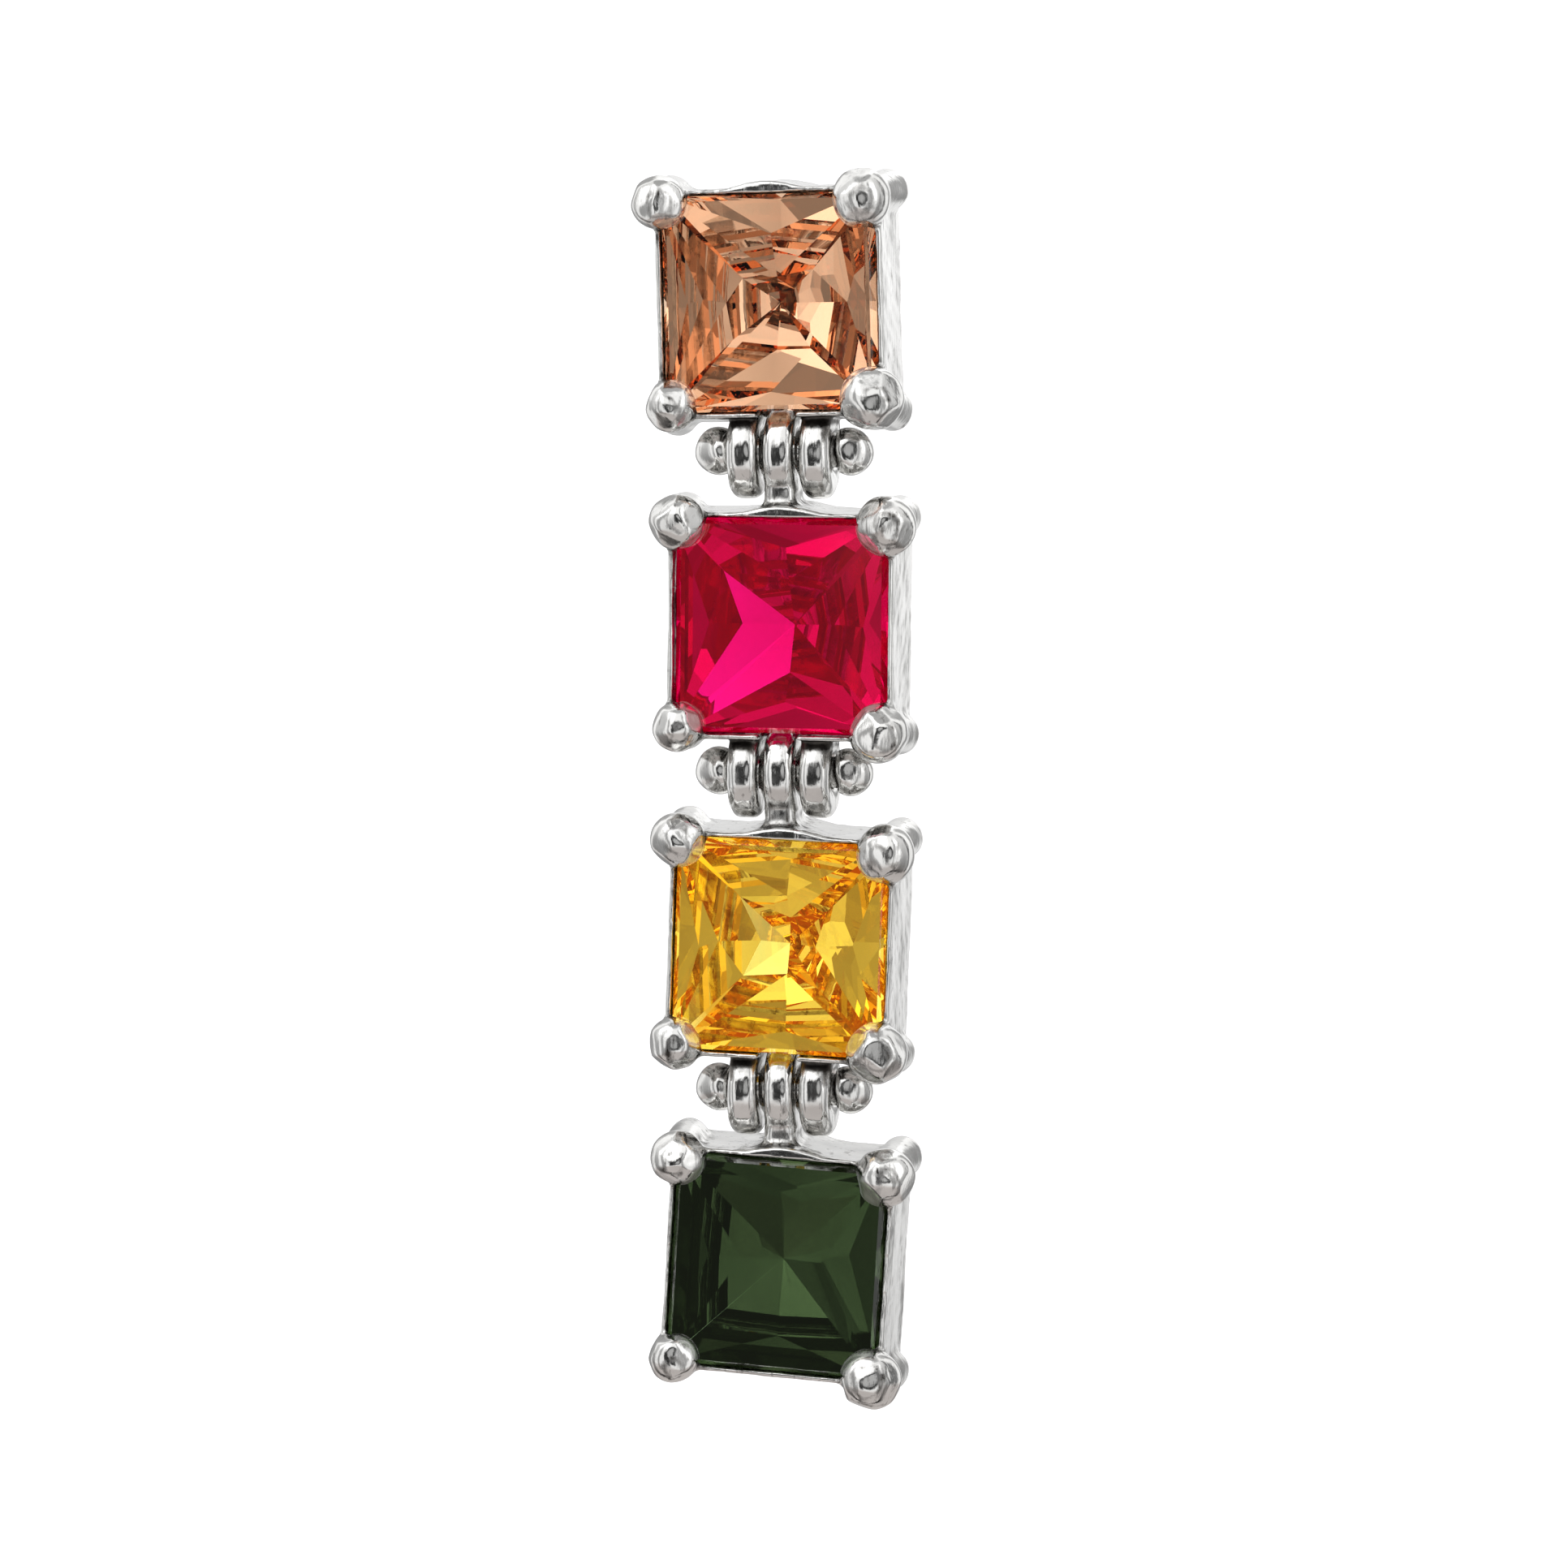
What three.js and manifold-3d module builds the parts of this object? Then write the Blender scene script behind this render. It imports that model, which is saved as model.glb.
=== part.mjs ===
// A post drop earring: four square stones in cast silver box settings, one below the other, joined by
// three pin hinges. Millimetres, +Z up, the stones face -Y. The origin is the root of the ear post,
// where the back of the top setting meets the ear lobe.
import * as THREE from "three";
import { ConvexGeometry } from "three/addons/geometries/ConvexGeometry.js";
import { mergeVertices } from "three/addons/utils/BufferGeometryUtils.js";
import Module from "manifold-3d";

const wasm = await Module();
wasm.setup();

// Princess-cut stone, a calibrated 6 mm size. Depths count back from the top of the girdle.
const STONE_SIDE = 6.0;
const STONE_CORNER = 0.16;
const TABLE_SIDE = 5.3;
const CROWN_HEIGHT = 0.36;
const GIRDLE_HEIGHT = 0.1;
// Middle section of the pavilion, from the girdle to the culet: one row for each chevron facet.
const CHEVRONS = [
  { halfWidth: 2.5, depth: 0.68 },
  { halfWidth: 1.72, depth: 1.32 },
  { halfWidth: 0.86, depth: 1.86 },
  { halfWidth: 0, depth: 2.22 },
];

// Box setting. Its back is the plane y = 0 and its rim is at y = -BOX_DEPTH.
const STONE_GAP = 0.05;
const WALL = 0.25;
const BOX_DEPTH = 2.8;
const GIRDLE_BELOW_RIM = 0.4;
const SEAT_WIDTH = 0.4;
const BACK_FRAME_DEPTH = 0.6;
const BACK_WINDOW_SIDE = 3.5;
const RIM_CREST = 0.18;
const RIM_DIP = 0.05;
const RIM_HALF_WAVES = 1.5;
const EDGE_STEPS = 12;

// Prongs: a rod up each corner of the box, and a ball that leans in over the stone's corner.
const PRONG_OFFSET = 3.04;
const PRONG_ROD_RADIUS = 0.56;
const PRONG_NECK_RADIUS = 0.46;
const PRONG_NECK_LENGTH = 0.7;
const PRONG_BALL_OFFSET = 2.88;
const PRONG_BALL_RADIUS = 0.84;
const PRONG_BALL_Y = -2.95;
const PRONG_SIDES = 12;
const BALL_STEPS = 6;

// Hinge: two loops under the upper box, one loop on top of the lower box, one pin through them.
const LOOP_RADIUS = 1.32;
const LOOP_HOLE_RADIUS = 0.51;
const LOOP_WIDTH = 0.86;
const LOOP_SPACING = 1.02;
const LOOP_BEVEL = 0.2;
const LOOP_SIDES = 24;
const LOOP_NECK_DEPTH = 1.9;
const SLOT_WIDTH = 1.1;
const SLOT_BACK_BRIDGE = 0.2;
const HINGE_Y = -1.45;
const PIN_BELOW_BOX = 0.85;
const PIN_ABOVE_BOX = 1.55;
const PIN_RADIUS = 0.43;
const PIN_HEAD_RADIUS = 0.7;
const PIN_HEAD_GAP = 0.06;
const PIN_HEAD_SEAT_RADIUS = 0.6;

// Ear post, soldered on a bar across the back of the top setting.
const POST_ABOVE_CENTRE = 1.9;
const POST_RADIUS = 0.4;
const POST_LENGTH = 11.0;
const POST_GROOVE_RADIUS = 0.32;
const POST_GROOVE_WIDTH = 0.5;
const POST_GROOVE_FROM_TIP = 2.0;
const POST_FOOT_RADIUS = 0.8;
const POST_FOOT_HEIGHT = 0.35;
const POST_SIDES = 16;
const POST_BAR_HEIGHT = 1.5;

// Sizes that follow from those above.
const STONE_HALF = STONE_SIDE / 2;
const POCKET_HALF = STONE_HALF + STONE_GAP;
const BOX_HALF = POCKET_HALF + WALL;
const BOX_SIDE = 2 * BOX_HALF;
const GIRDLE_Y = -BOX_DEPTH + GIRDLE_BELOW_RIM;
const PITCH = BOX_SIDE + PIN_BELOW_BOX + PIN_ABOVE_BOX;
const HINGE_FROM_UPPER_CENTRE = BOX_HALF + PIN_BELOW_BOX;
const OVERSHOOT = 1.0;

// The four links, from the top. Each box was soldered to its loops by hand, so it leans by a tilt in
// degrees, clockwise from the front, and sits a little to one side.
const LINKS = [
  { setting: "top_setting_with_ear_post", stone: "champagne_stone", tilt: -1.5, aside: -0.2 },
  { setting: "second_setting", stone: "ruby_stone", tilt: 0.5, aside: 0.1 },
  { setting: "third_setting", stone: "golden_stone", tilt: 2.0, aside: 0.08 },
  { setting: "bottom_setting", stone: "green_stone", tilt: 3.5, aside: 0 },
];

const STONE_COLOURS = {
  champagne_stone: 0xc8966e,
  ruby_stone: 0xa5052d,
  golden_stone: 0xf0b428,
  green_stone: 0x2d3c28,
};
const SILVER_COLOUR = 0xcfcecb;

// Points closer than this are one corner of a solid.
const MERGE_DISTANCE = 1e-5;
const ON_AXIS = 1e-9;

function solidOf(geometry) {
  const bare = geometry.index ? geometry.toNonIndexed() : geometry.clone();
  bare.deleteAttribute("normal");
  bare.deleteAttribute("uv");
  const merged = mergeVertices(bare, MERGE_DISTANCE);
  return new wasm.Manifold(
    new wasm.Mesh({
      numProp: 3,
      vertProperties: merged.attributes.position.array,
      triVerts: new Uint32Array(merged.index.array),
    }),
  );
}

function geometryOf(solid) {
  const mesh = solid.getMesh();
  const geometry = new THREE.BufferGeometry();
  geometry.setAttribute("position", new THREE.BufferAttribute(mesh.vertProperties, 3));
  geometry.setIndex(new THREE.BufferAttribute(mesh.triVerts, 1));
  const flat = geometry.toNonIndexed();
  flat.computeVertexNormals();
  return flat;
}

function joined(solids) {
  return solids.reduce((sum, solid) => sum.add(solid));
}

// A block between two corners, given as [x, y, z].
function block(low, high) {
  const size = high.map((value, axis) => value - low[axis]);
  const geometry = new THREE.BoxGeometry(...size);
  geometry.translate(...low.map((value, axis) => value + size[axis] / 2));
  return solidOf(geometry);
}

// A shape drawn in the front view (x, z), standing from y = front back to y = back.
function frontExtrusion(shape, front, back) {
  const geometry = new THREE.ExtrudeGeometry(shape, {
    depth: back - front,
    bevelEnabled: false,
    curveSegments: 1,
  });
  geometry.rotateX(Math.PI / 2);
  geometry.translate(0, back, 0);
  return solidOf(geometry);
}

// A turned solid about the Y axis, from rows of [radius, y] that start and end on the axis or close.
function turnedAlongY(rows, sides) {
  const profile = rows.map(([radius, y]) => new THREE.Vector2(radius < ON_AXIS ? 0 : radius, y));
  return new THREE.LatheGeometry(profile, sides);
}

// A solid moved from the straight frame of its link to the lean that its box has.
function leaning(solid, { tilt, aside }) {
  const geometry = geometryOf(solid);
  geometry.rotateY(THREE.MathUtils.degToRad(tilt));
  geometry.translate(aside, 0, 0);
  return solidOf(geometry);
}

// Rows of [radius, y] on a ball, from one angle to another, measured from its front pole at -Y.
function ballRows(radius, centreY, fromAngle, toAngle) {
  const rows = [];
  for (let step = 0; step <= BALL_STEPS; step += 1) {
    const angle = fromAngle + ((toAngle - fromAngle) * step) / BALL_STEPS;
    rows.push([radius * Math.sin(angle), centreY - radius * Math.cos(angle)]);
  }
  return rows;
}

// The corners of a square with cut corners, as points at one depth.
function cutSquare(half, corner, y) {
  const long = half;
  const short = half - corner;
  const pairs = [
    [long, short],
    [short, long],
    [-short, long],
    [-long, short],
    [-long, -short],
    [-short, -long],
    [short, -long],
    [long, -short],
  ];
  return pairs.map(([x, z]) => new THREE.Vector3(x, y, z));
}

// A princess-cut stone with its girdle at y = GIRDLE_Y, grown by a margin for the pocket it sits in.
function stoneSolid(margin = 0) {
  const points = [
    ...cutSquare(TABLE_SIDE / 2, STONE_CORNER, -CROWN_HEIGHT),
    ...cutSquare(STONE_HALF, STONE_CORNER, 0),
    ...cutSquare(STONE_HALF, STONE_CORNER, GIRDLE_HEIGHT),
  ];
  for (const { halfWidth, depth } of CHEVRONS) {
    const y = GIRDLE_HEIGHT + depth;
    points.push(new THREE.Vector3(halfWidth, y, 0), new THREE.Vector3(-halfWidth, y, 0));
    points.push(new THREE.Vector3(0, y, halfWidth), new THREE.Vector3(0, y, -halfWidth));
  }
  const geometry = new ConvexGeometry(points);
  const growth = 1 + margin / STONE_HALF;
  geometry.scale(growth, growth, growth);
  geometry.translate(0, GIRDLE_Y, 0);
  return solidOf(geometry);
}

// Height of the box's upper edge above BOX_HALF: a crest in the middle between two shallow dips.
function crestHeight(x) {
  const phase = (x / BOX_HALF) * RIM_HALF_WAVES * Math.PI;
  const fade = 1 - (x / BOX_HALF) ** 2;
  const wave = Math.cos(phase) * fade;
  return wave > 0 ? RIM_CREST * wave : RIM_DIP * wave;
}

function boxOutline() {
  const shape = new THREE.Shape();
  shape.moveTo(-BOX_HALF, -BOX_HALF);
  shape.lineTo(BOX_HALF, -BOX_HALF);
  for (let step = 0; step <= EDGE_STEPS; step += 1) {
    const x = BOX_HALF - (BOX_SIDE * step) / EDGE_STEPS;
    shape.lineTo(x, BOX_HALF + crestHeight(x));
  }
  shape.closePath();
  return shape;
}

// The open box: walls, a seat that the girdle rests on, and a frame round the open back.
function collet() {
  const seatHalf = POCKET_HALF - SEAT_WIDTH;
  const windowHalf = BACK_WINDOW_SIDE / 2;
  const seatY = GIRDLE_Y + GIRDLE_HEIGHT;
  const front = -BOX_DEPTH - OVERSHOOT;
  return frontExtrusion(boxOutline(), -BOX_DEPTH, 0)
    .subtract(block([-POCKET_HALF, front, -POCKET_HALF], [POCKET_HALF, seatY, POCKET_HALF]))
    .subtract(block([-seatHalf, front, -seatHalf], [seatHalf, -BACK_FRAME_DEPTH, seatHalf]))
    .subtract(block([-windowHalf, front, -windowHalf], [windowHalf, OVERSHOOT, windowHalf]));
}

// One prong, in the corner where side and level are each -1 or 1.
function prong(side, level) {
  const neckStart = PRONG_BALL_Y + PRONG_NECK_LENGTH;
  const shoulder = neckStart + 2 * (PRONG_ROD_RADIUS - PRONG_NECK_RADIUS);
  const rod = turnedAlongY(
    [
      [0, PRONG_BALL_Y],
      [PRONG_NECK_RADIUS, PRONG_BALL_Y],
      [PRONG_NECK_RADIUS, neckStart],
      [PRONG_ROD_RADIUS, shoulder],
      [PRONG_ROD_RADIUS, 0],
      [0, 0],
    ],
    PRONG_SIDES,
  );
  rod.translate(side * PRONG_OFFSET, 0, level * PRONG_OFFSET);
  const ball = turnedAlongY(ballRows(PRONG_BALL_RADIUS, PRONG_BALL_Y, 0, Math.PI), PRONG_SIDES);
  ball.translate(side * PRONG_BALL_OFFSET, 0, level * PRONG_BALL_OFFSET);
  return solidOf(rod).add(solidOf(ball));
}

function prongs() {
  const sides = [-1, 1];
  return joined(sides.flatMap((side) => sides.map((level) => prong(side, level))));
}

// A bevelled ring about the X axis through the hinge line at height z.
function hingeLoop(x, z) {
  const half = LOOP_WIDTH / 2;
  const rows = [
    [LOOP_HOLE_RADIUS, -half],
    [LOOP_RADIUS - LOOP_BEVEL, -half],
    [LOOP_RADIUS, -half + LOOP_BEVEL],
    [LOOP_RADIUS, half - LOOP_BEVEL],
    [LOOP_RADIUS - LOOP_BEVEL, half],
    [LOOP_HOLE_RADIUS, half],
    [LOOP_HOLE_RADIUS, -half],
  ];
  const geometry = turnedAlongY(rows, LOOP_SIDES);
  geometry.rotateZ(-Math.PI / 2);
  geometry.translate(x, HINGE_Y, z);
  return solidOf(geometry);
}

// The single loop on top of a box, with the neck that carries it.
function upperLoop() {
  const centreZ = BOX_HALF + PIN_ABOVE_BOX;
  const half = LOOP_WIDTH / 2;
  const neckTop = centreZ - (LOOP_RADIUS + LOOP_HOLE_RADIUS) / 2;
  const neck = block(
    [-half, HINGE_Y - LOOP_NECK_DEPTH / 2, BOX_HALF - WALL / 2],
    [half, HINGE_Y + LOOP_NECK_DEPTH / 2, neckTop],
  );
  return hingeLoop(0, centreZ).add(neck);
}

function lowerLoops() {
  const z = -HINGE_FROM_UPPER_CENTRE;
  return hingeLoop(-LOOP_SPACING, z).add(hingeLoop(LOOP_SPACING, z));
}

// The gap in the lower wall that the next link's loop turns in.
function loopSlot() {
  const half = SLOT_WIDTH / 2;
  const top = -POCKET_HALF + SEAT_WIDTH + OVERSHOOT / 2;
  return block(
    [-half, -BOX_DEPTH - OVERSHOOT, -BOX_HALF - OVERSHOOT],
    [half, -SLOT_BACK_BRIDGE, top],
  );
}

// The bar across the back window that the post is soldered to.
function postBar() {
  const half = POCKET_HALF - SEAT_WIDTH / 2;
  return block(
    [-half, -BACK_FRAME_DEPTH, POST_ABOVE_CENTRE - POST_BAR_HEIGHT / 2],
    [half, 0, POST_ABOVE_CENTRE + POST_BAR_HEIGHT / 2],
  );
}

// The ear post with its soldered foot, a groove for the nut and a round tip.
function earPost() {
  const tipStart = POST_LENGTH - POST_RADIUS;
  const grooveEnd = POST_LENGTH - POST_GROOVE_FROM_TIP;
  const grooveStart = grooveEnd - POST_GROOVE_WIDTH;
  const step = POST_RADIUS - POST_GROOVE_RADIUS;
  const rows = [
    [0, -BACK_FRAME_DEPTH / 2],
    [POST_FOOT_RADIUS, -BACK_FRAME_DEPTH / 2],
    [POST_FOOT_RADIUS, 0],
    [POST_RADIUS, POST_FOOT_HEIGHT],
    [POST_RADIUS, grooveStart],
    [POST_GROOVE_RADIUS, grooveStart + step],
    [POST_GROOVE_RADIUS, grooveEnd - step],
    [POST_RADIUS, grooveEnd],
    ...ballRows(POST_RADIUS, -tipStart, Math.PI / 2, 0).map(([radius, y]) => [radius, -y]),
  ];
  const geometry = turnedAlongY(rows, POST_SIDES);
  geometry.translate(0, 0, POST_ABOVE_CENTRE);
  return solidOf(geometry);
}

function settingSolid(link, isTop, isBottom) {
  const box = collet().add(prongs());
  let solid = leaning(isTop ? box.add(postBar()) : box, link);
  solid = solid.add(isTop ? earPost() : upperLoop());
  if (!isBottom) solid = solid.subtract(loopSlot()).add(lowerLoops());
  return solid.subtract(leaning(stoneSolid(STONE_GAP), link));
}

// A pin along X with a ball at each end, flattened where it faces the loops.
function pinSolid() {
  const seatX = LOOP_SPACING + LOOP_WIDTH / 2 + PIN_HEAD_GAP;
  const seatAngle = Math.PI - Math.asin(PIN_HEAD_SEAT_RADIUS / PIN_HEAD_RADIUS);
  const centreX = seatX - PIN_HEAD_RADIUS * Math.cos(seatAngle);
  const head = ballRows(PIN_HEAD_RADIUS, -centreX, 0, seatAngle);
  const stem = [PIN_RADIUS, -seatX];
  const firstHalf = [...head, stem];
  const secondHalf = firstHalf.map(([radius, y]) => [radius, -y]).reverse();
  const geometry = turnedAlongY([...firstHalf, ...secondHalf], LOOP_SIDES);
  geometry.rotateZ(-Math.PI / 2);
  return solidOf(geometry);
}

function namedMesh(name, solid, material, z) {
  const mesh = new THREE.Mesh(geometryOf(solid), material);
  mesh.name = name;
  mesh.position.set(0, 0, z);
  return mesh;
}

function silver() {
  return new THREE.MeshStandardMaterial({ color: SILVER_COLOUR, roughness: 0.22, metalness: 1 });
}

function gem(colour) {
  return new THREE.MeshStandardMaterial({ color: colour, roughness: 0.04, metalness: 0 });
}

const earring = new THREE.Group();
const last = LINKS.length - 1;
LINKS.forEach((link, index) => {
  const z = -POST_ABOVE_CENTRE - index * PITCH;
  earring.add(namedMesh(link.setting, settingSolid(link, index === 0, index === last), silver(), z));
  earring.add(namedMesh(link.stone, leaning(stoneSolid(), link), gem(STONE_COLOURS[link.stone]), z));
  if (index < last) {
    const pin = namedMesh(`hinge_pin_${index + 1}`, pinSolid(), silver(), z - HINGE_FROM_UPPER_CENTRE);
    pin.position.y = HINGE_Y;
    earring.add(pin);
  }
});

export default earring;
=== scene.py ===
"""A hinged stud drop earring.

Four cast silver box settings with balled prongs hold square faceted stones, and hang from each other on
pinned loops. All shapes are worked out in millimetres and turned into metres when they become meshes.
"""

import itertools
import math

import bmesh
import bpy
import numpy as np
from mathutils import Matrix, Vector


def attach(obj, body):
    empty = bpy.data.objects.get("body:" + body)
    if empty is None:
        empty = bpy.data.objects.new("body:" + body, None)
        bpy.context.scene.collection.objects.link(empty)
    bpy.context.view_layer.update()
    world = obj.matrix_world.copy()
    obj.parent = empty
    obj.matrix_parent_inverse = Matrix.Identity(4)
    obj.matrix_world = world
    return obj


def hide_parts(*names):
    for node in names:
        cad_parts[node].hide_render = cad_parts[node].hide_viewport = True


MM = 0.001

# Sizes of the part as the CAD has them. Each link's own frame has its origin at the middle of its box, on
# the back plane, with the stones facing -Y.
FIRST_CENTRE_Z = -1.9
PITCH = 9.0
BOX_HALF = 3.3
RIM_HALF = 3.18
BOX_DEPTH = 2.8
POCKET_HALF = 3.05
SEAT_Y = -2.3
SEAT_HALF = 2.65
BACK_FRAME_DEPTH = 0.6
WINDOW_HALF = 1.75
HINGE_Y = -1.45
UPPER_HINGE_Z = 4.85
LOWER_HINGE_Z = -4.15
LOOP_SPACING = 1.02
LOOP_RADIUS = 1.32
LOOP_HOLE_RADIUS = 0.51
LOOP_HALF_WIDTH = 0.43
SLOT_HALF_WIDTH = 0.55
POST_HEIGHT = 1.9
BAR_HALF_WIDTH = 2.85
BAR_HALF_HEIGHT = 0.75

# How far the holes in a box reach past it.
OUTSIDE = 9.0

# The upper edge of a box: how far it rises in the middle, and dips on either side.
CREST_HEIGHT = 0.18
DIP_DEPTH = 0.05

# A prong: how far its rod's foot, its rod's top and its ball lie out to both sides, how far forward, and how
# thick the rod is.
ROD_FOOT_OUT = 3.06
ROD_FOOT_Y = -0.75
ROD_FOOT_RADIUS = 0.6
ROD_TOP_OUT = 3.02
ROD_TOP_Y = -2.5
ROD_TOP_RADIUS = 0.5
BALL_OUT = 2.9
BALL_Y = -2.95
BALL_DENTS = 9

# A hinge pin: a wire between two balled heads, whose inner sides are flat.
PIN_RADIUS = 0.43
PIN_WIRE_X = 1.7
PIN_HEAD_X = 1.87
PIN_HEAD_START_X = 1.52
PIN_DENTS = 3

# Prongs are listed from the upper left, the lower left, the upper right and the lower right, each with how
# far its ball lies off its usual place, sideways and upwards, its radius and the seed of its dents.
LINKS = [
    {
        "body": "top_link",
        "setting": "top_setting_with_ear_post",
        "stone": "champagne_stone",
        "tilt": -1.5,
        "aside": -0.2,
        "prongs": [
            (-0.1, -0.05, 0.79, 1),
            (0.08, 0.1, 0.73, 2),
            (-0.2, -0.1, 0.84, 3),
            (-0.05, 0.15, 0.88, 4),
        ],
    },
    {
        "body": "second_link",
        "setting": "second_setting",
        "stone": "ruby_stone",
        "tilt": 0.5,
        "aside": 0.1,
        "prongs": [
            (0.0, 0.0, 0.79, 5),
            (0.05, 0.05, 0.72, 6),
            (0.1, -0.05, 0.84, 7),
            (-0.05, 0.0, 0.86, 8),
        ],
    },
    {
        "body": "third_link",
        "setting": "third_setting",
        "stone": "golden_stone",
        "tilt": 2.0,
        "aside": 0.08,
        "prongs": [
            (-0.05, 0.0, 0.77, 9),
            (0.05, 0.05, 0.73, 10),
            (0.05, -0.1, 0.86, 11),
            (0.0, 0.1, 0.9, 12),
        ],
    },
    {
        "body": "bottom_link",
        "setting": "bottom_setting",
        "stone": "green_stone",
        "tilt": 3.5,
        "aside": 0.0,
        "prongs": [
            (-0.05, -0.05, 0.76, 13),
            (0.15, 0.05, 0.7, 14),
            (0.05, -0.1, 0.86, 15),
            (0.0, -0.05, 0.9, 16),
        ],
    },
]
PINS = ["hinge_pin_1", "hinge_pin_2", "hinge_pin_3"]
PRONG_SIDES = list(itertools.product((-1, 1), (1, -1)))

# The stones: square, with a narrow crown and rows of narrow pavilion facets that run out to the corners.
# Each stone's cut says:
# rows: (slope, width) pairs from the point at the back outwards.
# corners: more facet corners between the rows, as x, z and how far each stands proud of a plain pyramid.
# depth: from the girdle to the point at the back.
# lift: how far the stone stands forward of its seat.
# aside: how far the point lies off the middle.
# uneven: how far the rows' facet corners may lie off their places, next to the girdle.
# corner: how much is cut off each corner of the square outline.
# seed: the seed of the unevenness.
STONE_HALF = 3.0
TABLE_HALF = 2.84
CROWN_HEIGHT = 0.22
GIRDLE_HEIGHT = 0.1
GIRDLE_BACK_Y = -2.3
CUTS = {
    "champagne_stone": {
        "rows": [(0.7, 0.7), (0.76, 1.3), (0.84, 1.9), (0.92, 2.4)],
        "corners": [(-0.9, 0.7, 0.05), (-1.2, -1.0, 0.05), (1.1, 0.9, 0.08), (1.0, -1.3, 0.07)],
        "depth": 2.55,
        "lift": 0.2,
        "aside": 0.1,
        "uneven": 0.3,
        "corner": 0.16,
        "seed": 17,
    },
    "ruby_stone": {
        "rows": [(0.56, 1.3), (0.69, 2.2)],
        "corners": [(-1.74, 1.5, 0.05)],
        "depth": 2.22,
        "lift": 0.0,
        "aside": 0.2,
        "uneven": 0.12,
        "corner": 0.16,
        "seed": 2,
    },
    "golden_stone": {
        "rows": [(0.52, 0.8), (0.8, 1.4), (0.88, 1.9), (0.94, 2.4)],
        "corners": [(-1.15, -0.95, 0.09), (1.2, 1.0, 0.08), (1.0, -1.2, 0.07), (-1.3, 1.3, 0.07)],
        "depth": 2.55,
        "lift": 0.2,
        "aside": 0.1,
        "uneven": 0.22,
        "corner": 0.16,
        "seed": 22,
    },
    "green_stone": {
        "rows": [(0.88, 1.1), (0.9, 2.0)],
        "corners": [],
        "depth": 2.7,
        "lift": 0.3,
        "aside": 0.0,
        "uneven": 0.15,
        "corner": 0.004,
        "seed": 4,
    },
}
GEM_IOR = 2.16

# The ear post, straight back from the top of the first setting.
POST_RADIUS = 0.4
POST_TIP_Y = 11.0
POST_GROOVE_Y = 9.0
POST_GROOVE_RADIUS = 0.32
POST_GROOVE_WIDTH = 0.5

# The pitch of the grid on which the silver's fields are sampled.
GRID = 0.07

# The stage: the middle of the earring, at which the camera and the lights are aimed, a disc of floor that
# curves up into a wall, and the tents of light.
MIDDLE = (0, -1.5, -15.4)
CAMERA_PLACE = (26.0, -149.0, -3.0)
FLOOR_Z = -190.0
FLOOR_RADIUS = 280.0
CURVE_RADIUS = 160.0
WALL_TOP = 320.0
TENT_RADIUS = 105.0
TENT_DEPTH = 55.0

# An angle in degrees past every direction, for a patch of light without an upper limit.
FAR = 400

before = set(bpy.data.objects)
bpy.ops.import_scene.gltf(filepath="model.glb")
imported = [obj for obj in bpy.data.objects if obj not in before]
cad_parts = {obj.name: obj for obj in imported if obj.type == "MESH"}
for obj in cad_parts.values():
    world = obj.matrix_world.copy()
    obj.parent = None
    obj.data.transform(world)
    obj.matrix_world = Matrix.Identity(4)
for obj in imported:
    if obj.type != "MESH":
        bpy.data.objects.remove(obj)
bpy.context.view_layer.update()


# ---- distance fields -------------------------------------------------------------------------------------


def rounded_box(x, y, z, low, high, radius):
    """Distance to a box with rounded edges."""
    away, within = 0.0, -1e9
    for value, a, b in zip((x, y, z), low, high):
        q = np.abs(value - (a + b) / 2) - ((b - a) / 2 - radius)
        away = away + np.maximum(q, 0.0) ** 2
        within = np.maximum(within, q)
    return np.sqrt(away) + np.minimum(within, 0.0) - radius


def ellipsoid(x, y, z, centre, radii):
    """Near distance to an ellipsoid whose axes are along x, y and z."""
    scaled = [(v - c) / r for v, c, r in zip((x, y, z), centre, radii)]
    size = np.sqrt(sum(s * s for s in scaled))
    steep = np.sqrt(sum((s / r) ** 2 for s, r in zip(scaled, radii)))
    return size * (size - 1.0) / np.maximum(steep, 1e-6)


def round_rod(x, y, z, start, end, start_radius, end_radius):
    """Distance to a tapered rod with round ends."""
    start, end = np.array(start), np.array(end)
    along = end - start
    dx, dy, dz = x - start[0], y - start[1], z - start[2]
    share = np.clip((dx * along[0] + dy * along[1] + dz * along[2]) / (along @ along), 0.0, 1.0)
    across = (dx - share * along[0]) ** 2 + (dy - share * along[1]) ** 2 + (dz - share * along[2]) ** 2
    return np.sqrt(across) - (start_radius + share * (end_radius - start_radius))


def ring(x, y, z, middle_x, middle_z):
    """Distance to a hinge loop: a ring about the X axis, cut from thick half-round wire."""
    rounding = 0.3
    middle = (LOOP_RADIUS + LOOP_HOLE_RADIUS) / 2
    thick = (LOOP_RADIUS - LOOP_HOLE_RADIUS) / 2 - rounding
    wide = LOOP_HALF_WIDTH - rounding
    out = np.abs(np.hypot(y - HINGE_Y, z - middle_z) - middle) - thick
    side = np.abs(x - middle_x) - wide
    away = np.hypot(np.maximum(out, 0), np.maximum(side, 0))
    return away + np.minimum(np.maximum(out, side), 0) - rounding


def blended(a, b, width):
    """The union of two fields, with a fillet of about that width where they meet."""
    h = np.clip(0.5 + 0.5 * (b - a) / width, 0.0, 1.0)
    return b + (a - b) * h - width * h * (1.0 - h)


def cut(a, b, width):
    """Field a with field b taken away, with its edges rounded."""
    return -blended(-a, b, width)


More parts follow.
